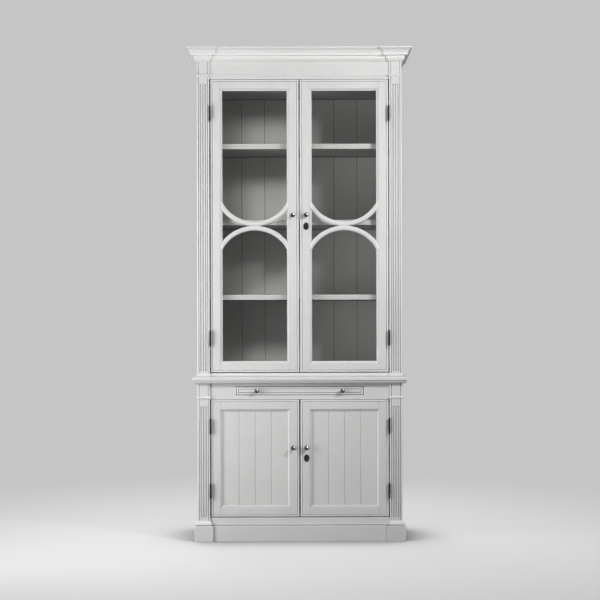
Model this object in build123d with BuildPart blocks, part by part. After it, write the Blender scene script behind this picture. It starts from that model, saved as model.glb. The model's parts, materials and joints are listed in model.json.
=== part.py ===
from build123d import *
import os

# A painted two-stage china cabinet: a glazed hutch with fluted pilasters and a crown cornice
# stands on a base with grooved-panel doors and a pull-out serving slide.
# Millimetres, +Z up, the front faces -Y, the floor is Z = 0 and X = 0 is the middle.

# Overall sizes of the case, over the pilasters and without the mouldings
case_width = 992.0
case_depth = 434.0

# Heights, stacked from the floor to the top of the cornice
plinth_height = 76.0
base_rail_height = 38.0
lower_door_height = 566.8
slide_rail_height = 77.0
counter_bed_height = 16.0
counter_thickness = 18.0
hutch_floor_thickness = 17.8
upper_door_height = 1416.4
frieze_height = 83.6
crown_bed_height = 28.5
crown_cove_height = 38.5

# Boards
board = 20.0
back_thickness = 10.0
frame_thickness = 22.0
shelf_thickness = 25.0
top_board_thickness = 12.0
shelf_side_clearance = 1.0
shelf_setback = 20.0
ceiling_drop = 37.0
dust_board_drop = 9.0
dust_board_thickness = 14.0
lower_floor_rise = 12.0

# Shelf undersides above the floor of their case
upper_shelf_heights = (354.2, 718.2, 1089.2)
lower_shelf_height = 250.0
shelf_pin_radius = 3.0
shelf_pin_reach = 10.0
shelf_pin_inset = 60.0
pin_hole_clearance = 0.05

# Back boards
back_board_width = 118.0
groove_width = 4.0
groove_depth = 2.0

# Pilasters
pilaster_width = 60.5
pilaster_proud = 8.0
corner_bead = 8.5
corner_round = 3.0
quirk_width = 2.7
quirk_depth = 2.6
flute_count = 3
flute_pitch = 12.1
flute_radius = 3.2
flute_depth = 2.6
upper_flute_rise = 27.0
upper_flute_drop = 36.0
lower_flute_rise = 40.0
lower_flute_drop = 35.0

# Mouldings: projection from the face that they are fixed to
crown_projection = 48.0
crown_fillet = 8.5
crown_lip = 2.0
crown_cove_foot = 28.0
crown_cove_step = 1.5
crown_bed_projection = 14.0
crown_bed_bevel = 12.5
crown_bed_swell = 1.4
astragal_height = 11.0
astragal_projection = 5.0
astragal_fillet = 2.2
astragal_shoulder = 2.5
astragal_drop = 61.0
hutch_base_projection = 6.0
hutch_base_height = 16.0
hutch_base_fillet = 7.0
hollow_edge = 1.4
counter_projection = 26.0
counter_round = 11.0
counter_bed_projection = 21.0
counter_bed_round = 13.0
necking_drop = 63.0
pilaster_base_projection = 11.0
pilaster_base_height = 25.0
pilaster_base_fillet = 9.0
pilaster_base_lip = 2.0

# Plinth
plinth_block_projection = 14.5
plinth_block_width = 89.0
plinth_block_proud = 10.0
plinth_board = 20.0
plinth_block_chamfer = 2.0
plinth_line_height = 3.4
plinth_line_depth = 4.0

# Doors
door_gap = 2.0
door_foot_gap = 4.2
meeting_gap = 6.4
hinge_gap = 5.0
door_stop_gap = 1.0
stile_width = 45.5
upper_rail_width = 40.8
lower_rail_width = 45.0
sticking_width = 11.5
sticking_depth = 8.0
sticking_step = 1.3
sticking_flat = 2.0
joint_line = 0.3
edge_bead = 8.0
edge_round = 2.4
rebate_width = 8.0
glass_thickness = 3.0
glass_setback = 13.0
glass_clearance = 1.0
bead_setback = 0.5
panel_thickness = 7.0
panel_setback = 10.0
panel_board_count = 4

# Curved glazing bars: each arc rises this much from its crown to the stile
bar_width = 22.5
bar_rise = 92.0
bar_setback = 2.0
bar_bevel = 5.5
bar_bevel_depth = 5.0
bar_flat = 1.0

# Hinges
leaf_height = 66.0
leaf_thickness = 1.6
barrel_radius = 4.2
barrel_clearance = 0.3
knuckle_gap = 0.3
hinge_pin_radius = 2.0
running_clearance = 0.05
finial_collar_radius = 3.5
finial_collar = 2.0
finial_ball_radius = 3.0
finial_ball_sink = 0.6
upper_hinge_inset = 164.0
lower_hinge_inset = 126.5

# Knobs, escutcheons and locks
knob_radius = 11.2
knob_reach = 29.0
knob_neck_radius = 4.6
knob_neck_reach = 7.5
knob_widest = 17.0
knob_rose_radius = 9.0
knob_rose_thickness = 2.2
knob_inset = 29.0
upper_knob_height = 760.0
lower_knob_height = 334.8
upper_lock_height = 706.0
lower_lock_height = 283.8
escutcheon_width = 26.0
escutcheon_height = 36.0
escutcheon_thickness = 1.6
escutcheon_rim = 3.0
escutcheon_rim_rise = 1.2
keyhole_radius = 3.3
keyhole_slot = 3.4
keyhole_drop = 10.5
lock_width = 40.0
lock_height = 60.0
lock_thickness = 11.0
lock_inset = 1.0
bolt_length = 26.0
bolt_thickness = 6.0
bolt_height = 14.0
bolt_clearance = 0.2
bolt_room = 4.0

# Serving slide
slide_width = 614.0
slide_height = 38.5
slide_rise = 22.5
slide_gap = 2.6
slide_front_thickness = 20.0
slide_board_thickness = 18.0
slide_back_room = 15.0
slide_side_clearance = 0.4
slide_line_inset = 9.0
slide_knob_radius = 10.6
slide_knob_spacing = 416.0
runner_groove = 14.0
runner_wall = 22.0
runner_lip = 16.0

# Levels, worked out from the heights
z_lower_opening = plinth_height + base_rail_height
z_lower_door = z_lower_opening + door_foot_gap
z_lower_door_top = z_lower_door + lower_door_height
z_slide_rail = z_lower_door_top + door_gap
z_counter_bed = z_slide_rail + slide_rail_height
z_counter = z_counter_bed + counter_bed_height
z_hutch = z_counter + counter_thickness
z_hutch_floor = z_hutch + hutch_floor_thickness
z_upper_door = z_hutch_floor + door_foot_gap
z_upper_door_top = z_upper_door + upper_door_height
z_frieze = z_upper_door_top + door_gap
z_crown = z_frieze + frieze_height
z_cove = z_crown + crown_bed_height
z_top = z_cove + crown_cove_height
z_top_board = z_top - top_board_thickness
z_ceiling = z_upper_door_top - ceiling_drop
z_astragal = z_crown - astragal_drop - astragal_height
z_dust_board = z_lower_door_top - dust_board_drop
z_runner = z_dust_board + dust_board_thickness
z_necking = z_counter_bed - necking_drop - astragal_height
z_lower_floor = z_lower_door + lower_floor_rise
z_slide = z_slide_rail + slide_rise
z_slide_middle = z_slide + slide_height / 2

# Depths: the box with the cornice is centred on Y = 0
y_back = (case_depth + crown_projection) / 2
y_face = y_back - case_depth
y_frame = y_face + pilaster_proud
y_inside = y_frame + frame_thickness
y_stop = y_inside + door_stop_gap
y_panel = y_back - back_thickness
y_shelf = y_inside + shelf_setback

# Widths from the middle
x_case = case_width / 2
x_inner = x_case - board
x_opening = x_case - pilaster_width
x_hinge = x_opening - hinge_gap / 2
x_door = x_opening - hinge_gap
x_meeting = meeting_gap / 2
door_width = x_door - x_meeting
door_middle = (x_door + x_meeting) / 2
sight_width = stile_width + sticking_width

os.makedirs("parts", exist_ok=True)


def save(piece, name):
    """Name a finished piece and write it."""
    piece.part.label = name
    export_step(piece.part, f"parts/{name}.step")


def block(x_range, y_range, z_range, mode=Mode.ADD):
    """A plain rectangular board between two corners."""
    spans = [sorted(span) for span in (x_range, y_range, z_range)]
    sizes = [high - low for low, high in spans]
    middle = tuple((low + high) / 2 for low, high in spans)
    with Locations(middle):
        Box(*sizes, mode=mode)


def front_plane(x, y, z):
    """A plane that faces the viewer: its own y is up and its normal is -Y."""
    return Plane(origin=(x, y, z), x_dir=(1, 0, 0), z_dir=(0, -1, 0))


def case_outline(y_start=None):
    """The right half of the case seen from above: its side, its pilaster and the break to the rail."""
    y_first = y_back if y_start is None else y_start
    return [(x_case, y_first), (x_case, y_face), (x_opening, y_face), (x_opening, y_frame)]


def mirrored(outline):
    """The same outline on the left half, in the order that goes on round the front."""
    return [(-x, y) for x, y in reversed(outline)]


def moulding_plane(start):
    """The plane of a moulding's profile: its x is the projection and its y is the height."""
    return Plane(origin=(start[0], start[1], 0), x_dir=(1, 0, 0), z_dir=(0, -1, 0))


def astragal_profile(z):
    """A half-round bead on a thin fillet."""
    bead_low = (astragal_shoulder, z + astragal_fillet)
    bead_middle = (astragal_projection, z + (astragal_fillet + astragal_height) / 2)
    bead_high = (astragal_shoulder, z + astragal_height)
    Polyline((0, z + astragal_height), (0, z), (astragal_shoulder, z), bead_low)
    ThreePointArc(bead_low, bead_middle, bead_high)
    Line(bead_high, (0, z + astragal_height))


def swept_moulding(outline, draw_profile):
    """A moulding of one profile, mitred at each corner of the outline that it follows."""
    with BuildPart() as piece:
        with BuildLine() as route:
            Polyline(*outline)
        with BuildSketch(moulding_plane(outline[0])):
            with BuildLine():
                draw_profile()
            make_face()
        sweep(path=route.line, transition=Transition.RIGHT)
    return piece


def group(pieces, name):
    """Like pieces that share one node stay separate solids."""
    with BuildPart() as whole:
        for piece in pieces:
            add(piece.part)
    save(whole, name)


SIDES = {"left": -1, "right": 1}


# Carcass boards

def pin_places(floor, undersides):
    """Where the pins of a case's shelves stand: depth and height of each."""
    depths = (y_shelf + shelf_pin_inset, y_panel - shelf_pin_inset)
    levels = [floor + underside - shelf_pin_radius for underside in undersides]
    return [(y, z) for z in levels for y in depths]


upper_pins = pin_places(z_hutch_floor, upper_shelf_heights)
lower_pins = pin_places(z_lower_floor, [lower_shelf_height])


def side_board(side, z_range, pins):
    """One side of a case, drilled for its shelf pins."""
    with BuildPart() as piece:
        block((side * x_inner, side * x_case), (y_inside, y_back), z_range)
        with Locations(*[(side * x_inner, y, z) for y, z in pins]):
            Cylinder(
                shelf_pin_radius + pin_hole_clearance,
                2 * shelf_pin_reach,
                rotation=(0, 90, 0),
                mode=Mode.SUBTRACT,
            )
    return piece


def shelf_pins(side, pins):
    """The pins of one side, half in the board and half under the shelf."""
    with BuildPart() as piece:
        with Locations(*[(side * x_inner, y, z) for y, z in pins]):
            Cylinder(shelf_pin_radius, 2 * shelf_pin_reach, rotation=(0, 90, 0))
    return piece


for hand, side in SIDES.items():
    save(side_board(side, (z_hutch, z_top_board), upper_pins), f"upper_{hand}_side")
    save(side_board(side, (plinth_height, z_counter_bed), lower_pins), f"lower_{hand}_side")

group([shelf_pins(side, upper_pins + lower_pins) for side in SIDES.values()], "shelf_pins")


def shelf(underside):
    """A loose shelf on its pins, with an eased front edge."""
    half_width = x_inner - shelf_side_clearance
    with BuildPart() as piece:
        block((-half_width, half_width), (y_shelf, y_panel), (underside, underside + shelf_thickness))
        front_edges = piece.faces().sort_by(Axis.Y)[0].edges().filter_by(Axis.X)
        fillet(front_edges, radius=edge_round)
    return piece


for name, height in zip(("low", "middle", "top"), upper_shelf_heights):
    save(shelf(z_hutch_floor + height), f"{name}_shelf")
save(shelf(z_lower_floor + lower_shelf_height), "lower_shelf")


def grooved_panel(x_range, y_range, z_range, groove_places):
    """A panel whose front face has upright V grooves."""
    half_groove = groove_width / 2
    with BuildPart() as piece:
        block(x_range, y_range, z_range)
        with BuildSketch(Plane.XY.offset(z_range[0])):
            with Locations(*[(x, y_range[0]) for x in groove_places]):
                Polygon((-half_groove, 0), (half_groove, 0), (0, groove_depth), align=None)
        extrude(amount=z_range[1] - z_range[0], mode=Mode.SUBTRACT)
    return piece


# The middle back board is centred, and the outer ones are cut to the sides of the case
back_joints = int((x_inner - groove_width) / back_board_width + 0.5)
right_grooves = [(joint + 0.5) * back_board_width for joint in range(back_joints)]
back_grooves = right_grooves + [-x for x in right_grooves]
for name, z_range in (("upper", (z_hutch, z_top_board)), ("lower", (plinth_height, z_counter_bed))):
    save(grooved_panel((-x_inner, x_inner), (y_panel, y_back), z_range, back_grooves), f"{name}_back_panel")

with BuildPart() as hutch_floor:
    block((-x_inner, x_inner), (y_inside, y_panel), (z_hutch, z_hutch_floor))
    block((-x_opening, x_opening), (y_frame, y_inside), (z_hutch, z_hutch_floor))
save(hutch_floor, "hutch_floor")

with BuildPart() as ceiling_board:
    block((-x_inner, x_inner), (y_stop, y_panel), (z_ceiling, z_ceiling + board))
save(ceiling_board, "ceiling_board")

with BuildPart() as lower_floor_board:
    block((-x_inner, x_inner), (y_stop, y_panel), (z_lower_floor - board, z_lower_floor))
save(lower_floor_board, "lower_floor_board")

with BuildPart() as dust_board:
    block((-x_inner, x_inner), (y_stop, y_panel), (z_dust_board, z_runner))
save(dust_board, "dust_board")

with BuildPart() as frieze_board:
    block((-x_opening, x_opening), (y_frame, y_inside), (z_frieze, z_top_board))
save(frieze_board, "frieze_board")

with BuildPart() as base_rail:
    block((-x_opening, x_opening), (y_frame, y_inside), (plinth_height, z_lower_opening))
    line_y = (y_frame, y_frame + plinth_line_depth)
    line_z = (plinth_height, plinth_height + plinth_line_height)
    block((-x_opening, x_opening), line_y, line_z, mode=Mode.SUBTRACT)
save(base_rail, "base_rail")

with BuildPart() as slide_rail:
    block((-x_opening, x_opening), (y_frame, y_inside), (z_slide_rail, z_counter_bed))
    with Locations((0, y_frame + frame_thickness / 2, z_slide_middle)):
        Box(slide_width + 2 * slide_gap, frame_thickness, slide_height + 2 * slide_gap, mode=Mode.SUBTRACT)
save(slide_rail, "slide_rail")

with BuildPart() as cornice_top_board:
    with BuildSketch(Plane.XY.offset(z_top_board)):
        Polygon(*case_outline(), *mirrored(case_outline()), align=None)
    extrude(amount=top_board_thickness)
save(cornice_top_board, "cornice_top_board")


# Pilasters

def pilaster(side, z_range, flute_range):
    """A fluted upright with a bead on each front corner."""
    middle = side * (x_case + x_opening) / 2
    depth = y_inside - y_face
    quirk_offset = pilaster_width / 2 - corner_bead
    flute_y = y_face - (flute_radius - flute_depth)
    flute_low = flute_range[0] + flute_radius
    flute_high = flute_range[1] - flute_radius
    with BuildPart() as piece:
        with BuildSketch(Plane.XY.offset(z_range[0])) as section:
            with Locations((middle, y_face + depth / 2)):
                Rectangle(pilaster_width, depth)
            fillet(section.vertices().group_by(Axis.Y)[0], radius=corner_round)
            with Locations((middle - quirk_offset, y_face), (middle + quirk_offset, y_face)):
                Rectangle(quirk_width, 2 * quirk_depth, mode=Mode.SUBTRACT)
        extrude(amount=z_range[1] - z_range[0])
        with Locations((middle, flute_y, (flute_low + flute_high) / 2)):
            with GridLocations(flute_pitch, 1, flute_count, 1):
                Cylinder(flute_radius, flute_high - flute_low, mode=Mode.SUBTRACT)
        for z in (flute_low, flute_high):
            with Locations((middle, flute_y, z)):
                with GridLocations(flute_pitch, 1, flute_count, 1):
                    Sphere(flute_radius, mode=Mode.SUBTRACT)
    return piece


upper_flutes = (z_hutch + upper_flute_rise, z_astragal - upper_flute_drop)
lower_flutes = (plinth_height + lower_flute_rise, z_necking - lower_flute_drop)
for name, z_range, flutes in (
    ("upper", (z_hutch, z_top_board), upper_flutes),
    ("lower", (plinth_height, z_counter_bed), lower_flutes),
):
    group([pilaster(side, z_range, flutes) for side in SIDES.values()], f"{name}_pilasters")


# Mouldings

def crown_cove_profile():
    """The top member of the cornice: a hollow that curves out to a square fillet."""
    hollow_low = (crown_cove_foot, z_cove + crown_cove_step)
    hollow_high = (crown_projection - crown_lip, z_top - crown_fillet)
    Polyline((0, z_top), (0, z_cove), (crown_cove_foot, z_cove), hollow_low)
    TangentArc(hollow_low, hollow_high, tangent=(0, 1))
    Polyline(hollow_high, (crown_projection, z_top - crown_fillet), (crown_projection, z_top), (0, z_top))


def crown_bed_profile():
    """The lower member of the cornice: a square face over a swelling bevel."""
    bevel_top = (crown_bed_projection - crown_bed_swell, z_crown + crown_bed_bevel)
    bevel_middle = (bevel_top[0] / 2 + crown_bed_swell, z_crown + crown_bed_bevel / 2 - crown_bed_swell)
    bevel_low = (crown_bed_swell, z_crown)
    Polyline((0, z_cove), (0, z_crown), bevel_low)
    ThreePointArc(bevel_low, bevel_middle, bevel_top)
    Polyline(bevel_top, (crown_bed_projection, bevel_top[1]), (crown_bed_projection, z_cove), (0, z_cove))


def hutch_base_profile():
    """The foot of the hutch: a square fillet that hollows back to the case."""
    fillet_top = (hutch_base_projection, z_hutch + hutch_base_fillet)
    hollow_top = (hollow_edge, z_hutch + hutch_base_height)
    Polyline((0, hollow_top[1]), (0, z_hutch), (hutch_base_projection, z_hutch), fillet_top)
    TangentArc(hollow_top, fillet_top, tangent=(0, -1))
    Line(hollow_top, (0, hollow_top[1]))


def pilaster_base_profile():
    """The foot of a lower pilaster: a square fillet under a hollow, with a shadow line below it."""
    fillet_top = (pilaster_base_projection, plinth_height + pilaster_base_fillet)
    hollow_low = (pilaster_base_projection - pilaster_base_lip, fillet_top[1])
    hollow_top = (hollow_edge, plinth_height + pilaster_base_height)
    line_foot = (pilaster_base_projection - plinth_line_depth, plinth_height)
    line_top = (line_foot[0], plinth_height + plinth_line_height)
    line_edge = (pilaster_base_projection, line_top[1])
    Polyline((0, hollow_top[1]), (0, plinth_height), line_foot, line_top, line_edge, fillet_top, hollow_low)
    TangentArc(hollow_top, hollow_low, tangent=(0, -1))
    Line(hollow_top, (0, hollow_top[1]))


whole_outline = case_outline() + mirrored(case_outline())
pilaster_outline = case_outline(y_inside)
save(swept_moulding(whole_outline, crown_cove_profile), "crown_cove_moulding")
save(swept_moulding(whole_outline, crown_bed_profile), "crown_bed_moulding")
save(swept_moulding(whole_outline, lambda: astragal_profile(z_astragal)), "frieze_astragal")
save(swept_moulding(whole_outline, hutch_base_profile), "hutch_base_moulding")

pilaster_mouldings = []
for outline in (pilaster_outline, mirrored(pilaster_outline)):
    pilaster_mouldings.append(swept_moulding(outline, pilaster_base_profile))
    pilaster_mouldings.append(swept_moulding(outline, lambda: astragal_profile(z_necking)))
group(pilaster_mouldings, "lower_pilaster_mouldings")


# Counter between the two stages

def counter_layer(projection, z_range):
    """A layer of the counter that stands out past the case at the front and sides."""
    half_width = x_case + projection
    block((-half_width, half_width), (y_face - projection, y_back), z_range)


def open_edges(face):
    """The edges of a level face, without the one along the back."""
    return face.edges().sort_by(Axis.Y)[:-1]


with BuildPart() as counter_top:
    counter_layer(counter_projection, (z_counter, z_hutch))
    fillet(open_edges(counter_top.faces().sort_by(Axis.Z)[-1]), radius=counter_round)
save(counter_top, "counter_top")

with BuildPart() as counter_bed:
    counter_layer(counter_bed_projection, (z_counter_bed, z_counter))
    fillet(open_edges(counter_bed.faces().sort_by(Axis.Z)[0]), radius=counter_bed_round)
save(counter_bed, "counter_bed")


# Plinth

y_block = y_face - plinth_block_projection
x_block = x_case + plinth_block_projection
x_block_inner = x_block - plinth_block_width
y_block_back = y_block + plinth_block_width
y_plinth = y_block + plinth_block_proud
x_plinth = x_block - plinth_block_proud

with BuildPart() as plinth_boards:
    block((-x_block_inner, x_block_inner), (y_plinth, y_plinth + plinth_board), (0, plinth_height))
    for side in SIDES.values():
        side_x = (side * (x_plinth - plinth_board), side * x_plinth)
        block(side_x, (y_block_back, y_back), (0, plinth_height))
save(plinth_boards, "plinth_boards")

with BuildPart() as plinth_blocks:
    for side in SIDES.values():
        block((side * x_block_inner, side * x_block), (y_block, y_block_back), (0, plinth_height))
    chamfer(plinth_blocks.faces().group_by(Axis.Z)[-1].edges(), length=plinth_block_chamfer)
save(plinth_blocks, "plinth_blocks")


# Doors

opening_width = door_width - 2 * sight_width


class DoorPlace:
    """Where a door stands: its hand, its middle and the size of its opening."""

    def __init__(self, side, z_low, height, rail_width, fill_setback):
        self.side = side
        self.x = side * door_middle
        self.z = z_low + height / 2
        self.height = height
        self.rail_width = rail_width
        self.opening_height = height - 2 * (rail_width + sticking_width)
        self.fill_setback = fill_setback
        self.face = front_plane(self.x, y_frame, self.z)

    def opening_block(self, margin, y_range):
        """A board that fills the opening and reaches past it by a margin."""
        half_width = opening_width / 2 + margin
        half_height = self.opening_height / 2 + margin
        x_range = (self.x - half_width, self.x + half_width)
        return x_range, y_range, (self.z - half_height, self.z + half_height)


def joint_outline(place):
    """The hairline between a stile and a rail: straight across the flat, mitred over the sticking."""
    x_joint = door_width / 2 - stile_width
    z_edge = place.height / 2
    reach = sticking_width + joint_line
    outer = [
        (x_joint, z_edge + joint_line),
        (x_joint, z_edge - place.rail_width),
        (x_joint - reach, z_edge - place.rail_width - reach),
    ]
    return outer + [(x - joint_line, z) for x, z in reversed(outer)]


def keyhole(plane, depth):
    """A keyhole cut through what lies behind the plane."""
    with BuildPart() as piece:
        with BuildSketch(plane):
            Circle(keyhole_radius)
            with Locations((0, -keyhole_drop / 2)):
                Rectangle(keyhole_slot, keyhole_drop)
        extrude(amount=depth, both=True)
    return piece


def lock_plane(side, z_lock):
    """The plane on the door's face where its keyhole is."""
    return front_plane(side * (x_meeting + knob_inset), y_frame, z_lock)


def door_frame(place, z_lock=None):
    """Two stiles and two rails with a beaded edge, moulded sticking and a rebate behind."""
    size = (door_width, place.height)
    opening = (opening_width, place.opening_height)

    def grown(base, margin):
        return [length + 2 * margin for length in base]

    hole = keyhole(lock_plane(place.side, z_lock), frame_thickness) if z_lock else None
    with BuildPart() as piece:
        with BuildSketch(place.face):
            Rectangle(*size)
            Rectangle(*opening, mode=Mode.SUBTRACT)
        extrude(amount=-frame_thickness)
        fillet(piece.faces().sort_by(Axis.Y)[0].outer_wire().edges(), radius=edge_round)
        with BuildSketch(place.face):
            Rectangle(*grown(size, -edge_bead))
            Rectangle(*grown(size, -edge_bead - quirk_width), mode=Mode.SUBTRACT)
        extrude(amount=-quirk_depth, mode=Mode.SUBTRACT)
        with BuildSketch(place.face):
            Rectangle(*grown(opening, sticking_width))
        extrude(amount=-sticking_step, mode=Mode.SUBTRACT)
        with BuildSketch(place.face.offset(-sticking_step)):
            Rectangle(*grown(opening, sticking_width - sticking_flat))
        with BuildSketch(place.face.offset(-sticking_depth)):
            Rectangle(*grown(opening, sticking_flat))
        loft(mode=Mode.SUBTRACT)
        with BuildSketch(place.face.offset(-place.fill_setback)):
            Rectangle(*grown(opening, rebate_width))
        extrude(amount=place.fill_setback - frame_thickness, mode=Mode.SUBTRACT)
        with BuildSketch(place.face):
            for across in (-1, 1):
                for up in (-1, 1):
                    Polygon(*[(across * x, up * z) for x, z in joint_outline(place)], align=None)
        extrude(amount=-frame_thickness, mode=Mode.SUBTRACT)
        if hole:
            add(hole.part, mode=Mode.SUBTRACT)
    return piece


def glazing_arc(place, up, frame):
    """One curved bar: part of a ring between the stiles, coped over their sticking."""
    half_width = opening_width / 2
    inner = (half_width**2 + bar_rise**2) / (2 * bar_rise)
    outer = inner + bar_width
    z_ring = place.z + up * (outer - bar_flat)
    y_front = y_frame + bar_setback
    y_shoulder = y_front + bar_bevel_depth
    y_rear = y_frame + glass_setback
    section = [
        (inner, y_rear),
        (outer, y_rear),
        (outer, y_shoulder),
        (outer - bar_bevel, y_front),
        (inner + bar_bevel, y_front),
        (inner, y_shoulder),
    ]
    reach = half_width + sticking_width
    with BuildPart() as piece:
        with BuildSketch(Plane(origin=(place.x, 0, z_ring), x_dir=(1, 0, 0), z_dir=(0, 0, 1))):
            Polygon(*section, align=None)
        revolve(axis=Axis((place.x, 0, z_ring), (0, 1, 0)))
        block((place.x - reach, place.x + reach), (y_front, y_rear), (place.z, z_ring), mode=Mode.INTERSECT)
        add(frame.part, mode=Mode.SUBTRACT)
    return piece


def glass_bead(place):
    """The thin frame behind the pane that holds it in its rebate."""
    y_glass_back = y_frame + glass_setback + glass_thickness
    with BuildPart() as piece:
        block(*place.opening_block(rebate_width, (y_glass_back, y_inside - bead_setback)))
        block(*place.opening_block(0, (y_glass_back, y_inside - bead_setback)), mode=Mode.SUBTRACT)
    return piece


def glass_pane(place):
    """The single pane behind the curved bars."""
    y_glass = y_frame + glass_setback
    with BuildPart() as piece:
        block(*place.opening_block(rebate_width - glass_clearance, (y_glass, y_glass + glass_thickness)))
    return piece


def door_panel(place):
    """The grooved panel of a lower door."""
    y_panel_front = y_frame + panel_setback
    y_range = (y_panel_front, y_panel_front + panel_thickness)
    bounds = place.opening_block(rebate_width - glass_clearance, y_range)
    board_width = opening_width / panel_board_count
    joints = [place.x - opening_width / 2 + board_width * joint for joint in range(1, panel_board_count)]
    return grooved_panel(*bounds, joints)


# Hinges

y_axis = y_face - barrel_radius - barrel_clearance
leaf_end = leaf_height / 2
knuckle_split = leaf_height / 6
half_gap = knuckle_gap / 2
case_knuckles = [(-leaf_end, -knuckle_split - half_gap), (knuckle_split + half_gap, leaf_end)]
door_knuckles = [(half_gap - knuckle_split, knuckle_split - half_gap)]


def hinge_leaf(side, z, plate_x, knuckles):
    """One leaf: a plate let in beside the gap, with its knuckles round the pin."""
    x_range = [side * x for x in plate_x]
    y_plate = y_axis + barrel_radius + knuckle_gap
    with BuildPart() as piece:
        block(x_range, (y_plate, y_inside), (z - leaf_end, z + leaf_end))
        for low, high in knuckles:
            block(x_range, (y_axis, y_plate), (z + low, z + high))
            with Locations((side * x_hinge, y_axis, z + (low + high) / 2)):
                Cylinder(barrel_radius, high - low)
        with Locations((side * x_hinge, y_axis, z)):
            Cylinder(hinge_pin_radius + running_clearance, leaf_height, mode=Mode.SUBTRACT)
    return piece


def hinge_pin(side, z):
    """A hinge pin with a collar and a ball at each end."""
    with BuildPart() as piece:
        with Locations((side * x_hinge, y_axis, z)):
            Cylinder(hinge_pin_radius, leaf_height)
        for end in (-1, 1):
            z_collar = z + end * (leaf_height + finial_collar) / 2
            z_ball = z + end * (leaf_end + finial_collar + finial_ball_radius - finial_ball_sink)
            with Locations((side * x_hinge, y_axis, z_collar)):
                Cylinder(finial_collar_radius, finial_collar)
            with Locations((side * x_hinge, y_axis, z_ball)):
                Sphere(finial_ball_radius)
    return piece


def hinge_levels(z_low, height, inset):
    """The heights of a door's two hinges."""
    return (z_low + inset, z_low + height - inset)


upper_hinges = hinge_levels(z_upper_door, upper_door_height, upper_hinge_inset)
lower_hinges = hinge_levels(z_lower_door, lower_door_height, lower_hinge_inset)
case_plate = (x_opening - leaf_thickness, x_opening)
door_plate = (x_door, x_door + leaf_thickness)
hinge_places = [(side, z) for side in SIDES.values() for z in upper_hinges + lower_hinges]
group([hinge_leaf(side, z, case_plate, case_knuckles) for side, z in hinge_places], "case_hinge_leaves")
group([hinge_pin(side, z) for side, z in hinge_places], "hinge_pins")


# Knobs, escutcheons and locks

def knob(x, z, radius):
    """A turned knob on a small rose."""
    neck = (knob_neck_radius, -knob_neck_reach)
    tip = (0, -knob_reach)
    rose = [(0, 0), (knob_rose_radius, 0), (knob_rose_radius, -knob_rose_thickness)]
    with BuildPart() as piece:
        with BuildSketch(Plane(origin=(x, y_frame, z), x_dir=(1, 0, 0), z_dir=(0, 0, 1))):
            with BuildLine():
                Polyline(*rose, (knob_neck_radius, -knob_rose_thickness), neck)
                Spline(neck, (radius, -knob_widest), tip, tangents=((1, 0), (-1, 0)))
                Line(tip, (0, 0))
            make_face()
        revolve(axis=Axis((x, y_frame, z), (0, 1, 0)))
    return piece


def escutcheon(side, z_lock):
    """An oval keyhole plate with a raised rim."""
    plane = lock_plane(side, z_lock)
    half_width = escutcheon_width / 2
    half_height = escutcheon_height / 2
    hole = keyhole(plane, escutcheon_thickness + escutcheon_rim_rise)
    with BuildPart() as piece:
        with BuildSketch(plane):
            Ellipse(half_width, half_height)
        extrude(amount=escutcheon_thickness)
        with BuildSketch(plane):
            Ellipse(half_width, half_height)
            Ellipse(half_width - escutcheon_rim, half_height - escutcheon_rim, mode=Mode.SUBTRACT)
        extrude(amount=escutcheon_thickness + escutcheon_rim_rise)
        add(hole.part, mode=Mode.SUBTRACT)
    return piece


def bolt_block(side, z_lock, clearance, length):
    """The space of a lock's bolt, grown by a clearance."""
    x_start = x_meeting + lock_inset
    half_thickness = bolt_thickness / 2 + clearance
    half_height = bolt_height / 2 + clearance
    y_middle = y_inside + lock_thickness / 2
    x_range = (side * x_start, side * (x_start + length))
    y_range = (y_middle - half_thickness, y_middle + half_thickness)
    return x_range, y_range, (z_lock - half_height, z_lock + half_height)


def lock_case(side, z_lock):
    """The case of a lock on the back of a meeting stile, open where the bolt comes out."""
    x_start = x_meeting + lock_inset
    x_range = (side * x_start, side * (x_start + lock_width))
    z_range = (z_lock - lock_height / 2, z_lock + lock_height / 2)
    with BuildPart() as piece:
        block(x_range, (y_inside, y_inside + lock_thickness), z_range)
        block(*bolt_block(side, z_lock, bolt_clearance, bolt_length + bolt_room), mode=Mode.SUBTRACT)
    return piece


def lock_bolt(side, z_lock):
    """The bolt, drawn back level with its case."""
    with BuildPart() as piece:
        block(*bolt_block(side, z_lock, 0, bolt_length))
    return piece


# Each door with its fittings

def door_fittings(name, place, hinges, z_knob):
    """The hinge leaves and the knob that every door has."""
    group([hinge_leaf(place.side, z, door_plate, door_knuckles) for z in hinges], f"{name}_hinge_leaves")
    save(knob(place.side * (x_meeting + knob_inset), z_knob, knob_radius), f"{name}_knob")


def lock_fittings(name, side, z_lock):
    """The escutcheon and the lock of a right-hand door."""
    save(escutcheon(side, z_lock), f"{name}_escutcheon")
    save(lock_case(side, z_lock), f"{name}_lock_case")
    save(lock_bolt(side, z_lock), f"{name}_lock_bolt")


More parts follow.
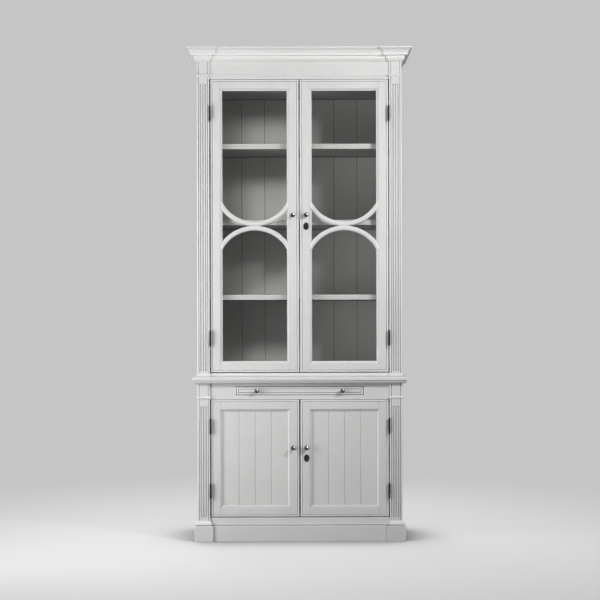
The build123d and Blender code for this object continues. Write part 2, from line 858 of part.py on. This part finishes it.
for hand, side in SIDES.items():
    upper = DoorPlace(side, z_upper_door, upper_door_height, upper_rail_width, glass_setback)
    lower = DoorPlace(side, z_lower_door, lower_door_height, lower_rail_width, panel_setback)
    z_upper_lock = z_upper_door + upper_lock_height if hand == "right" else None
    z_lower_lock = z_lower_door + lower_lock_height if hand == "right" else None

    upper_frame = door_frame(upper, z_upper_lock)
    save(upper_frame, f"upper_{hand}_door_frame")
    arcs = [glazing_arc(upper, up, upper_frame) for up in (1, -1)]
    group(arcs + [glass_bead(upper)], f"upper_{hand}_door_glazing_bars")
    save(glass_pane(upper), f"upper_{hand}_door_glass")
    door_fittings(f"upper_{hand}_door", upper, upper_hinges, z_upper_door + upper_knob_height)

    save(door_frame(lower, z_lower_lock), f"lower_{hand}_door_frame")
    save(door_panel(lower), f"lower_{hand}_door_panel")
    door_fittings(f"lower_{hand}_door", lower, lower_hinges, z_lower_door + lower_knob_height)

    if hand == "right":
        lock_fittings("upper_right_door", side, z_upper_lock)
        lock_fittings("lower_right_door", side, z_lower_lock)


# Serving slide

half_slide = slide_width / 2
y_slide_board = y_frame + slide_front_thickness
slide_board_z = (z_slide_middle - slide_board_thickness / 2, z_slide_middle + slide_board_thickness / 2)

with BuildPart() as slide_front:
    slide_plane = front_plane(0, y_frame, z_slide_middle)
    with BuildSketch(slide_plane):
        Rectangle(slide_width, slide_height)
    extrude(amount=-slide_front_thickness)
    fillet(slide_front.faces().sort_by(Axis.Y)[0].edges(), radius=edge_round)
    with BuildSketch(slide_plane):
        Rectangle(slide_width - 2 * slide_line_inset, slide_height - 2 * slide_line_inset)
        line_inner = slide_line_inset + quirk_width
        Rectangle(slide_width - 2 * line_inner, slide_height - 2 * line_inner, mode=Mode.SUBTRACT)
    extrude(amount=-quirk_depth, mode=Mode.SUBTRACT)
save(slide_front, "slide_front")

with BuildPart() as slide_board:
    block((-half_slide, half_slide), (y_slide_board, y_panel - slide_back_room), slide_board_z)
save(slide_board, "slide_board")

slide_knob_places = [side * slide_knob_spacing / 2 for side in SIDES.values()]
group([knob(x, z_slide_middle, slide_knob_radius) for x in slide_knob_places], "slide_knobs")

with BuildPart() as slide_runners:
    for side in SIDES.values():
        x_groove = half_slide + slide_side_clearance
        runner_x = (side * (half_slide - runner_groove), side * (half_slide + runner_wall))
        groove_x = (side * (half_slide - runner_groove), side * x_groove)
        groove_z = (slide_board_z[0] - slide_side_clearance, slide_board_z[1] + slide_side_clearance)
        block(runner_x, (y_inside, y_panel), (z_runner, slide_board_z[1] + runner_lip))
        block(groove_x, (y_inside, y_panel), groove_z, mode=Mode.SUBTRACT)
save(slide_runners, "slide_runners")
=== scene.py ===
import json
import math
from dataclasses import dataclass

import bpy
from mathutils import Matrix, Vector


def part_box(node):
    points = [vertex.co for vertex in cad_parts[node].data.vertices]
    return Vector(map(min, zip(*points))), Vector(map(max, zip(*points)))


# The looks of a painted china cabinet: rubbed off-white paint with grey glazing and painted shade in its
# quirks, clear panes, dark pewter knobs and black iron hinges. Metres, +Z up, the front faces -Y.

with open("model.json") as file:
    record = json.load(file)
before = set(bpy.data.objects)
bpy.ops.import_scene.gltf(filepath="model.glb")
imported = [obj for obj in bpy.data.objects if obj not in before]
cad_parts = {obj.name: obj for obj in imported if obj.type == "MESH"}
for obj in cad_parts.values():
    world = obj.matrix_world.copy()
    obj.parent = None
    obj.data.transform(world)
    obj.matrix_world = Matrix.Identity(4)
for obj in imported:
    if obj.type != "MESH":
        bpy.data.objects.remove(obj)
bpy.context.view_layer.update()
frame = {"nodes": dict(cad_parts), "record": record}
nodes = frame["nodes"]
slot_of = {part["node"]: part["material_slot"] for part in frame["record"]["subparts"]}

# Camera, fitted to the photograph: a long lens a little below the middle of the case
IMAGE_SIZE = 600
FOCAL_PIXELS = 1509.2
PRINCIPAL_ROW = 320.0
CAMERA_PLACE = (0.0018, -7.5, 1.111)
CAMERA_PITCH = math.radians(-0.307)
CAMERA_ROLL = math.radians(-0.145)
SENSOR = 36.0

# The studio: what the camera sees of the floor, with a painted shadow in its glow close round the object,
# what the floor gives back to the object, and the surround
FLOOR_REACH = 60.0
FLOOR_GLOW = 0.52
# The floor's glow where the object closes it in: a painted shadow
FLOOR_GLOW_IN_CONTACT_SHADOW = 0.15 * FLOOR_GLOW
FLOOR_SHADED = 0.30
FLOOR_BOUNCE = 0.20
FLOOR_FADES = (0.8, 3.0)
CONTACT_SHADOW_REACH = 0.30
SURROUND_LIGHT = 0.06
SURROUND_TINT = (0.92, 0.96, 1.0, 1.0)
BACKDROP = 0.56
WHITE = (1.0, 1.0, 1.0, 1.0)
CASE_MIDDLE = (0, 0, 1.3)
KEY_PLACE = (2.2, -2.43, 2.75)
KEY_SIZE = (0.85, 0.5)
SIDE_SIZE = (1.0, 1.2)

# Paint: as brushed, rubbed on its arrises, worn along the grain, and the dark glazing colour of its pores,
# joints and quirks, which also paints the shade in its quirks and gaps
PAINT = (0.70, 0.70, 0.69, 1.0)
PAINT_RUBBED = (0.86, 0.86, 0.85, 1.0)
PAINT_WORN = (0.62, 0.62, 0.61, 1.0)
GLAZE_AND_SHADE = (0.065, 0.067, 0.065, 1.0)
# The recesses of the crown and the frieze are painted light instead, a painted light that cancels their shade
PAINTED_LIGHT_FILL = (0.92, 0.92, 0.91, 1.0)
# Inside the hutch the paint is darkened as painted shade, most of all on its shelves and sides
INSIDE_SHADE = (0.46, 0.46, 0.45, 1.0)
INSIDE_BACK_SHADE = (0.88, 0.88, 0.87, 1.0)
SHELF_TOP_SHADE = 0.6

# The noises in the paint: scale, detail and roughness
MOTTLE = (5.0, 3.0, 0.5)
PORES = (60.0, 3.0, 0.6)
BRUSH = (9.0, 5.0, 0.6)
GRAIN_ALONG = 1.0
GRAIN_ACROSS = 14.0
# How much of each shows in the colour
STREAK_SHARE = 0.30
MOTTLE_SHARE = 0.15
PORE_SHARE = 0.16

# A gap between pieces gets painted shade when its sides are this near, and an arris is rubbed over this width
GAP_SHADE_REACH = 0.03
ARRIS_WIDTH = 0.006
ARRIS_ROUND = 0.0016
# Where the colour in a joint begins to thin out and where it ends, away from the joint's middle: painted
# light in the crown's level joint, dark glazing in board and door joints
LIGHT_SEAM_SPREAD = (0.003, 0.006)
BOARD_JOINT = (0.0006, 0.0016)
BOARD_JOINT_SHARE = 0.7
DOOR_JOINT = (0.0005, 0.0014)
# The joints between stiles and rails aren't rubbed this far to each side
JOINT_UNRUBBED = 0.008
# The doors' stiles, the room that their rails and mouldings take up, and their edge bead with its quirk
STILE_WIDTH = 0.0455
RAIL_WIDTH = 0.058
EDGE_BEAD = 0.0107
BOARD_WIDTH = 0.118

# A face looks one way when its normal has more than this share of it
FACING = 0.5
# The way a knob's rubbed front faces, up and to the right: worn metal that is also a painted highlight
RUB_AND_HIGHLIGHT_FACING = (0.30, -0.90, 0.32)


@dataclass(frozen=True)
class Coat:
    """How a kind of piece is painted.

    A quirk's sides count within its reach, and quirks says how closed it is where its glazing and painted
    shade are full and where they end; alone leaves other pieces out of that. joint_and_shade_paint is the
    colour laid in
    quirks, gaps and joints: a dark glazing colour that also paints their shade, and on the crown and the
    frieze a light paint that paints their shade out; joint_and_shade_share is how much of it is laid. rub is
    how far the arrises are rubbed. inside is the kind of board darkened with the hutch's painted shade: back,
    all, shelf, floor or side. seam is the level of a joint laid with that colour, on the crown a painted
    light that cancels its shadow line. ledge_shade is the tone of faces that look up, a painted shade, and
    tone that of the whole coat. boards is the width of the boards whose joints show behind, joint_share the
    glazing in the joints of a door's frame, and gloss the coat's shine.
    """

    reach: float = 0.004
    quirks: tuple = (0.30, 0.85)
    alone: bool = False
    joint_and_shade_paint: tuple = GLAZE_AND_SHADE
    joint_and_shade_share: float = 0.93
    rub: float = 1.0
    inside: str = ""
    seam: float = 0.0
    ledge_shade: float = 1.0
    tone: float = 1.0
    boards: float = 0.0
    joint_share: float = 0.0
    gloss: float = 0.35


COATS = {
    "plain": Coat(),
    "upper_frame": Coat(alone=True),
    # The lower frames lay half the glazing and painted shade, and darken their faces that look up: painted
    # shade
    "lower_frame": Coat(alone=True, joint_and_shade_share=0.5, ledge_shade=0.8, joint_share=0.25),
    "bars": Coat(joint_and_shade_share=0.0),
    "fluted": Coat(reach=0.010, quirks=(0.52, 0.88), alone=True),
    # The crown and the frieze lay painted light in their recesses, and the crown in its level joint, to
    # cancel their shade; the crown is also a tenth lighter all over
    "crown": Coat(
        joint_and_shade_paint=PAINTED_LIGHT_FILL, joint_and_shade_share=0.9, rub=0.3, seam=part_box("crown_cove_moulding")[0].z, tone=1.1
    ),
    "frieze": Coat(joint_and_shade_paint=PAINTED_LIGHT_FILL, joint_and_shade_share=0.9, rub=0.3),
    "counter": Coat(rub=0.4),
    "top": Coat(gloss=0.0),
    "slide": Coat(reach=0.005, quirks=(0.45, 0.92)),
    "upper_back_panel": Coat(reach=0.008, quirks=(0.60, 0.97), inside="back", boards=BOARD_WIDTH),
    "lower_back_panel": Coat(reach=0.008, quirks=(0.60, 0.97), boards=BOARD_WIDTH),
    "all": Coat(inside="all"),
    "side": Coat(inside="side"),
    "shelf": Coat(inside="shelf"),
    "floor": Coat(inside="floor"),
}
# The pieces with a coat of their own; the rest are plain
COAT_OF = {
    "upper_pilasters": "fluted",
    "lower_pilasters": "fluted",
    "crown_cove_moulding": "crown",
    "crown_bed_moulding": "crown",
    "frieze_board": "frieze",
    "frieze_astragal": "frieze",
    "counter_top": "counter",
    "counter_bed": "counter",
    "hutch_base_moulding": "counter",
    "upper_left_door_glazing_bars": "bars",
    "upper_right_door_glazing_bars": "bars",
    "cornice_top_board": "top",
    "slide_front": "slide",
    "upper_back_panel": "upper_back_panel",
    "lower_back_panel": "lower_back_panel",
    "ceiling_board": "all",
    "upper_left_side": "side",
    "upper_right_side": "side",
    "low_shelf": "shelf",
    "middle_shelf": "shelf",
    "top_shelf": "shelf",
    "hutch_floor": "floor",
}
# The pieces whose wood runs across the case or from front to back; in the rest it stands upright
ALONG_X = (
    "base_rail", "ceiling_board", "cornice_top_board", "counter_bed", "counter_top", "crown_bed_moulding",
    "crown_cove_moulding", "dust_board", "frieze_astragal", "frieze_board", "hutch_base_moulding",
    "hutch_floor", "low_shelf", "middle_shelf", "top_shelf", "lower_shelf", "lower_floor_board",
    "lower_pilaster_mouldings", "plinth_boards", "plinth_blocks", "slide_board", "slide_front", "slide_rail",
)
ALONG_Y = ("slide_runners",)


def new_material(name):
    """A material with an empty tree."""
    material = bpy.data.materials.new(name)
    material.use_nodes = True
    material.node_tree.nodes.clear()
    return material


class Tree:
    """Short ways to add and join shader nodes."""

    def __init__(self, owner):
        self.nodes = owner.node_tree.nodes
        self.links = owner.node_tree.links

    def add(self, kind, values=None, **settings):
        node = self.nodes.new(kind)
        for key, value in settings.items():
            setattr(node, key, value)
        for key, value in (values or {}).items():
            self.put(node.inputs[key], value)
        return node

    def put(self, socket, value):
        if isinstance(value, bpy.types.NodeSocket):
            self.links.new(value, socket)
        else:
            socket.default_value = value

    def coordinates(self, kind):
        return self.add("ShaderNodeTexCoord").outputs[kind]

    def split(self, vector):
        """The x, y and z of a vector."""
        return self.add("ShaderNodeSeparateXYZ", {"Vector": vector}).outputs

    def math(self, operation, a, b=0.0):
        return self.add("ShaderNodeMath", {0: a, 1: b}, operation=operation).outputs[0]

    def times(self, a, b):
        return self.math("MULTIPLY", a, b)

    def plus(self, a, b):
        return self.math("ADD", a, b)

    def larger(self, a, b):
        return self.math("MAXIMUM", a, b)

    def apart(self, a, b):
        """How far two values lie from each other."""
        return self.math("ABSOLUTE", self.math("SUBTRACT", a, b))

    def ramp(self, value, low, high, out_low=0.0, out_high=1.0):
        node = self.add(
            "ShaderNodeMapRange",
            {"Value": value, "From Min": low, "From Max": high, "To Min": out_low, "To Max": out_high},
            interpolation_type="SMOOTHSTEP",
        )
        return node.outputs["Result"]

    def mix(self, share, a, b, blend="MIX"):
        node = self.add("ShaderNodeMix", data_type="RGBA", blend_type=blend)
        self.put(node.inputs[0], share)
        self.put(node.inputs[6], a)
        self.put(node.inputs[7], b)
        return node.outputs[2]

    def toned(self, share, colour, tone):
        """A colour made lighter or darker by a grey."""
        return self.mix(share, colour, (tone, tone, tone, 1.0), "MULTIPLY")

    def noise(self, vector, scale, detail, roughness):
        node = self.add(
            "ShaderNodeTexNoise",
            {"Vector": vector, "Scale": scale, "Detail": detail, "Roughness": roughness},
        )
        return node.outputs[0]

    def openness(self, distance, **settings):
        """How open a spot is: 1 on a flat, less in a recess or, looking into the wood, near an arris."""
        node = self.add("ShaderNodeAmbientOcclusion", {"Distance": distance}, samples=8, **settings)
        return node.outputs["AO"]

    def output(self, shader):
        self.add("ShaderNodeOutputMaterial", {"Surface": shader})


def grain_vector(t, place, axis):
    """Coordinates that run out slowly along the grain."""
    scale = [GRAIN_ACROSS] * 3
    scale["XYZ".index(axis)] = GRAIN_ALONG
    return t.add("ShaderNodeMapping", {"Vector": place, "Scale": tuple(scale)}).outputs[0]


def shaded_inside_faces(t, place, kind):
    """How far each face gets the inside's painted shade: every face, level ones, or those that look inward.
    """
    if kind in ("back", "all"):
        return 1.0
    facing = t.split(t.coordinates("Normal"))
    if kind == "floor":
        return t.math("GREATER_THAN", t.math("ABSOLUTE", facing[2]), FACING)
    if kind == "shelf":
        under = t.math("LESS_THAN", facing[2], -FACING)
        return t.plus(under, t.times(t.math("GREATER_THAN", facing[2], FACING), SHELF_TOP_SHADE))
    outward = t.times(t.math("SIGN", t.split(place)[0]), facing[0])
    return t.math("LESS_THAN", outward, -FACING)


def rubbed_arrises(t, rub, mottle, open_near):
    """Where the arrises are rubbed pale, unevenly and not down in a recess."""
    near_arris = t.openness(ARRIS_WIDTH, inside=True, only_local=True)
    uneven = t.times(t.ramp(near_arris, 0.97, 0.70, 0.0, rub), t.ramp(mottle, 0.3, 0.6, 0.7, 1.0))
    return t.times(uneven, t.ramp(open_near, 0.80, 0.97))


def painted_light_seam(t, place, level):
    """A level joint painted light, a painted light that cancels its shadow line."""
    return t.ramp(t.apart(t.split(place)[2], level), *LIGHT_SEAM_SPREAD, 1.0, 0.0)


def board_joints(t, place, width):
    """Upright hairlines between the boards of a back, on its rear face."""
    across = t.math("DIVIDE", t.split(place)[0], width)
    from_joint = t.times(t.apart(t.math("FRACT", across), 0.5), width)
    behind = t.math("GREATER_THAN", t.split(t.coordinates("Normal"))[1], FACING)
    return t.times(t.ramp(from_joint, *BOARD_JOINT, BOARD_JOINT_SHARE, 0.0), behind)


def door_spans(name):
    """A door frame's middle across and up, its half sizes inside stiles and rails, and out to its bead."""
    low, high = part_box(name)
    middle = (low + high) / 2
    half = (high - low) / 2
    return middle.x, half.x - STILE_WIDTH, middle.z, half.z - RAIL_WIDTH, half.z - EDGE_BEAD


def door_joints(t, place, upright_grain, spans, joint_share):
    """A door frame's grain, which turns along its rails, the glazing in its joints, and what isn't rubbed."""
    middle, half_width, level, half_height, bead = spans
    spot = t.split(place)
    off = t.apart(spot[0], middle)
    up = t.apart(spot[2], level)
    grain = t.add("ShaderNodeMix", data_type="VECTOR")
    t.put(grain.inputs[0], t.math("LESS_THAN", off, half_width))
    t.put(grain.inputs[4], upright_grain)
    t.put(grain.inputs[5], grain_vector(t, place, "X"))
    from_joint = t.apart(off, half_width)
    joint = t.ramp(from_joint, *DOOR_JOINT, joint_share, 0.0)
    on_joint = t.times(t.math("GREATER_THAN", up, half_height), t.math("LESS_THAN", up, bead))
    unrubbed = t.times(t.math("LESS_THAN", from_joint, JOINT_UNRUBBED), on_joint)
    return grain.outputs[1], joint, unrubbed


def painted_wood(name, axis, coat, door=None):
    """Brushed paint over open-grained wood, with glazing and painted shade in its recesses and gaps, rubbed
    on its arrises.

    axis is the way the wood runs, and door the spans of a door frame.
    """
    material = new_material(name)
    t = Tree(material)
    place = t.coordinates("Object")
    grain = grain_vector(t, place, axis)
    open_near = t.openness(coat.reach, only_local=coat.alone)
    # Painted shade: quirks darken where they are closed in, partly a real glazing, and gaps between pieces
    # darken
    quirk = t.ramp(open_near, *coat.quirks, 1.0, 0.0)
    gap = t.ramp(t.openness(GAP_SHADE_REACH), 0.10, 0.34, 1.0, 0.0)
    joints_and_shade = t.larger(quirk, gap)
    mottle = t.noise(place, *MOTTLE)
    arris = rubbed_arrises(t, coat.rub, mottle, open_near)
    # The crown's level joint is painted light to cancel its shadow line
    if coat.seam:
        joints_and_shade = t.larger(joints_and_shade, painted_light_seam(t, place, coat.seam))
    if coat.boards:
        joints_and_shade = t.larger(joints_and_shade, board_joints(t, place, coat.boards))
    if door:
        grain, joint, unrubbed = door_joints(t, place, grain, door, coat.joint_share)
        joints_and_shade = t.larger(joints_and_shade, joint)
        arris = t.times(arris, t.math("SUBTRACT", 1.0, unrubbed))
    pores = t.noise(grain, *PORES)
    brush = t.noise(grain, *BRUSH)

    colour = t.mix(t.times(t.ramp(brush, 0.3, 0.7), STREAK_SHARE), PAINT, PAINT_WORN)
    colour = t.mix(t.ramp(mottle, 0.35, 0.75, 0.0, MOTTLE_SHARE), colour, PAINT_RUBBED)
    colour = t.mix(t.times(t.ramp(pores, 0.56, 0.72), PORE_SHARE), colour, GLAZE_AND_SHADE)
    if coat.tone != 1.0:
        colour = t.toned(1.0, colour, coat.tone)
    # The hutch's inside is darkened: painted shade
    if coat.inside:
        inside_shade = INSIDE_BACK_SHADE if coat.inside == "back" else INSIDE_SHADE
        colour = t.mix(shaded_inside_faces(t, place, coat.inside), colour, inside_shade, "MULTIPLY")
    colour = t.mix(arris, colour, PAINT_RUBBED)
    # Faces that look up are darkened: painted shade
    if coat.ledge_shade < 1.0:
        rise = t.split(t.coordinates("Normal"))[2]
        colour = t.toned(t.ramp(rise, 0.15, 0.5), colour, coat.ledge_shade)
    # Lay the colour where marked: dark glazing with painted shade, and on the crown and frieze painted light
    colour = t.mix(t.times(joints_and_shade, coat.joint_and_shade_share), colour, coat.joint_and_shade_paint)

    roughness = t.plus(t.times(brush, 0.2), 0.38)
    height = t.plus(t.times(brush, 0.6), t.times(pores, 0.4))
    rounded = t.add("ShaderNodeBevel", {"Radius": ARRIS_ROUND}, samples=6).outputs[0]
    soft = t.add(
        "ShaderNodeBump",
        {"Strength": 0.12, "Distance": 0.0006, "Height": height, "Normal": rounded},
    ).outputs[0]
    shader = t.add(
        "ShaderNodeBsdfPrincipled",
        {"Base Color": colour, "Roughness": roughness, "Normal": soft, "Specular IOR Level": coat.gloss},
    )
    t.output(shader.outputs[0])
    return material


def metal(name, base, worn, roughness, metallic=1.0, rubbed=None):
    """Aged metal, darker in its recesses and worn where it stands proud; rubbed colours a front facing up and
    to the right, worn metal that is also a painted highlight.
    """
    material = new_material(name)
    t = Tree(material)
    place = t.coordinates("Object")
    mottle = t.noise(place, 180.0, 4.0, 0.6)
    proud = t.ramp(t.openness(0.006), 0.35, 0.95)
    colour = t.mix(t.times(proud, t.ramp(mottle, 0.3, 0.7, 0.55, 1.0)), base, worn)
    # The rubbed front faces up and to the right: worn metal that is also a painted highlight
    if rubbed:
        facing = t.coordinates("Normal")
        front = t.add("ShaderNodeVectorMath", {0: facing, 1: RUB_AND_HIGHLIGHT_FACING}, operation="DOT_PRODUCT")
        colour = t.mix(t.ramp(front.outputs["Value"], 0.86, 0.97), colour, rubbed)
    rough = t.plus(t.times(mottle, 0.25), roughness)
    bump = t.add("ShaderNodeBump", {"Strength": 0.15, "Distance": 0.0003, "Height": mottle}).outputs[0]
    shader = t.add(
        "ShaderNodeBsdfPrincipled",
        {"Base Color": colour, "Roughness": rough, "Metallic": metallic, "Normal": bump},
    )
    t.output(shader.outputs[0])
    return material


def clear_glass(name):
    """Thin panes: what is behind shows unbent, and the front face mirrors a little."""
    material = new_material(name)
    t = Tree(material)
    place = t.coordinates("Object")
    ripple = t.noise(place, 7.0, 2.0, 0.4)
    bump = t.add("ShaderNodeBump", {"Strength": 0.05, "Distance": 0.002, "Height": ripple}).outputs[0]
    mirrored = t.add("ShaderNodeFresnel", {"IOR": 1.45}).outputs[0]
    back = t.add("ShaderNodeNewGeometry").outputs["Backfacing"]
    share = t.times(mirrored, t.math("SUBTRACT", 1.0, back))
    smear = t.ramp(t.noise(place, 11.0, 4.0, 0.6), 0.35, 0.8, 0.01, 0.07)
    through = t.add("ShaderNodeBsdfTransparent", {"Color": (0.955, 0.96, 0.955, 1.0)}).outputs[0]
    mirror = t.add("ShaderNodeBsdfGlossy", {"Color": WHITE, "Roughness": smear, "Normal": bump}).outputs[0]
    t.output(t.add("ShaderNodeMixShader", {0: share, 1: through, 2: mirror}).outputs[0])
    return material


def seen_directly(t):
    """1 for rays from the camera and for those that a mirror or a pane passes on, else 0."""
    path = t.add("ShaderNodeLightPath").outputs
    return t.larger(t.larger(path["Is Camera Ray"], path["Is Glossy Ray"]), path["Is Transmission Ray"])


def studio_floor(name):
    """A pale floor that keeps the object's shadow, with a painted shadow in its glow close round the object;
    it gives little light back and fades into the backdrop.
    """
    material = new_material(name)
    t = Tree(material)
    place = t.coordinates("Object")
    away = t.add("ShaderNodeVectorMath", {0: place}, operation="LENGTH").outputs["Value"]
    near = t.ramp(away, *FLOOR_FADES, 1.0, 0.0)
    cloud = t.ramp(t.noise(place, 0.9, 3.0, 0.5), 0.3, 0.7, 0.97, 1.0)
    grey = t.times(t.times(near, cloud), FLOOR_SHADED)
    shaded = t.add("ShaderNodeBsdfDiffuse", {"Color": grey}).outputs[0]
    # A painted shadow: the glow darkens where the object closes the floor in
    contact_shadow = t.ramp(t.openness(CONTACT_SHADOW_REACH), 0.45, 1.0, FLOOR_GLOW_IN_CONTACT_SHADOW, FLOOR_GLOW)
    glow = t.add("ShaderNodeMix", data_type="FLOAT")
    t.put(glow.inputs[0], near)
    t.put(glow.inputs[2], BACKDROP)
    t.put(glow.inputs[3], contact_shadow)
    lit = t.add("ShaderNodeEmission", {"Color": WHITE, "Strength": glow.outputs[0]}).outputs[0]
    shown = t.add("ShaderNodeAddShader", {0: shaded, 1: lit}).outputs[0]
    bounce = (FLOOR_BOUNCE, FLOOR_BOUNCE, FLOOR_BOUNCE, 1.0)
    dull = t.add("ShaderNodeBsdfDiffuse", {"Color": bounce}).outputs[0]
    t.output(t.add("ShaderNodeMixShader", {0: seen_directly(t), 1: dull, 2: shown}).outputs[0])
    return material


def wood_finish(name, made):
    """The paint of one node; pieces that are painted alike share a material."""
    axis = "X" if name in ALONG_X else "Y" if name in ALONG_Y else "Z"
    if name.endswith("_door_frame"):
        coat = COATS["lower_frame" if name.startswith("lower") else "upper_frame"]
        return painted_wood(f"painted_{name}", axis, coat, door_spans(name))
    key = COAT_OF.get(name, "plain")
    if (axis, key) not in made:
        made[axis, key] = painted_wood(f"painted_wood_{key}_{axis.lower()}", axis, COATS[key])
    return made[axis, key]


def dress_nodes():
    """Give every CAD node its finish."""
    black = (0.004, 0.004, 0.004, 1.0)
    pewter = (0.008, 0.008, 0.008, 1.0)
    pewter_worn = (0.05, 0.05, 0.049, 1.0)
    # The knobs' rubbed front: worn metal that is also a painted highlight
    pewter_rub_and_highlight = (0.62, 0.62, 0.61, 1.0)
    finishes = {
        "glass": clear_glass("clear_glass"),
        "dark_pewter": metal("dark_pewter", pewter, pewter_worn, 0.10, rubbed=pewter_rub_and_highlight),
        "black_iron": metal("black_iron", black, (0.018, 0.018, 0.019, 1.0), 0.30, metallic=0.8),
        "steel": metal("steel", (0.02, 0.02, 0.02, 1.0), (0.48, 0.48, 0.47, 1.0), 0.28),
    }
    plate = metal("black_iron_plate", black, (0.05, 0.05, 0.05, 1.0), 0.30, metallic=0.8)
    made = {}
    for name, node in nodes.items():
        if name.endswith("_escutcheon"):
            finish = plate
        else:
            finish = finishes.get(slot_of[name]) or wood_finish(name, made)
        node.data.materials.clear()
        node.data.materials.append(finish)


def make_stage():
    """A wide level floor."""
    corners = [(-1, -1), (1, -1), (1, 1), (-1, 1)]
    mesh = bpy.data.meshes.new("studio_floor")
    mesh.from_pydata([(x * FLOOR_REACH, y * FLOOR_REACH, 0) for x, y in corners], [], [(0, 1, 2, 3)])
    floor = bpy.data.objects.new("studio_floor", mesh)
    bpy.context.scene.collection.objects.link(floor)
    mesh.materials.append(studio_floor("studio_floor"))


def area_lamp(name, place, size, power, target=CASE_MIDDLE, spread=180.0, mirrored=True):
    """A rectangular soft light that looks at a target, out of the camera's sight and mirrored or not."""
    lamp = bpy.data.lights.new(name, "AREA")
    lamp.shape = "RECTANGLE"
    lamp.size, lamp.size_y = size
    lamp.energy = power
    lamp.spread = math.radians(spread)
    thing = bpy.data.objects.new(name, lamp)
    thing.location = place
    thing.rotation_euler = (Vector(target) - Vector(place)).to_track_quat("-Z", "Y").to_euler()
    thing.visible_camera = False
    thing.visible_glossy = mirrored
    bpy.context.scene.collection.objects.link(thing)


def make_lights():
    """A soft key from the upper right that fades up and down the case, fills from the left, a rear lamp."""
    area_lamp("key", KEY_PLACE, KEY_SIZE, 20.5, target=(0, 0, 1.33), spread=94.0)
    area_lamp("key_spill", KEY_PLACE, KEY_SIZE, 10)
    area_lamp("fill", (-1.6, -2.4, 1.2), (2.0, 2.0), 8)
    area_lamp("side_fill", (-2.2, -1.3, 1.5), SIDE_SIZE, 18)
    area_lamp("low_fill", (-2.2, -1.35, 0.7), SIDE_SIZE, 27)
    area_lamp("top", (-0.6, -1.7, 3.1), (1.6, 0.7), 5)
    area_lamp("behind", (-1.2, 3.2, 3.6), (2.4, 2.0), 100, target=(0, 0, 1.4), mirrored=False)


def make_surround():
    """Faint even light from all round, seen as a pale backdrop that meets the far floor."""
    world = bpy.data.worlds.new("surround")
    bpy.context.scene.world = world
    world.use_nodes = True
    world.node_tree.nodes.clear()
    t = Tree(world)
    light = t.add("ShaderNodeBackground", {"Color": SURROUND_TINT, "Strength": SURROUND_LIGHT}).outputs[0]
    seen = t.add("ShaderNodeBackground", {"Color": WHITE, "Strength": BACKDROP}).outputs[0]
    shown = t.add("ShaderNodeMixShader", {0: seen_directly(t), 1: light, 2: seen})
    t.add("ShaderNodeOutputWorld", {"Surface": shown.outputs[0]})


def make_camera():
    """The photograph's view."""
    data = bpy.data.cameras.new("camera")
    data.sensor_width = SENSOR
    data.lens = FOCAL_PIXELS * SENSOR / IMAGE_SIZE
    data.shift_y = (PRINCIPAL_ROW - IMAGE_SIZE / 2) / IMAGE_SIZE
    camera = bpy.data.objects.new("camera", data)
    level = Matrix.Rotation(math.pi / 2 + CAMERA_PITCH, 4, "X")
    camera.matrix_world = Matrix.Translation(CAMERA_PLACE) @ level @ Matrix.Rotation(CAMERA_ROLL, 4, "Z")
    bpy.context.scene.collection.objects.link(camera)
    bpy.context.scene.camera = camera


dress_nodes()
make_stage()
make_surround()
make_lights()
make_camera()
bpy.context.scene.view_settings.view_transform = "Standard"
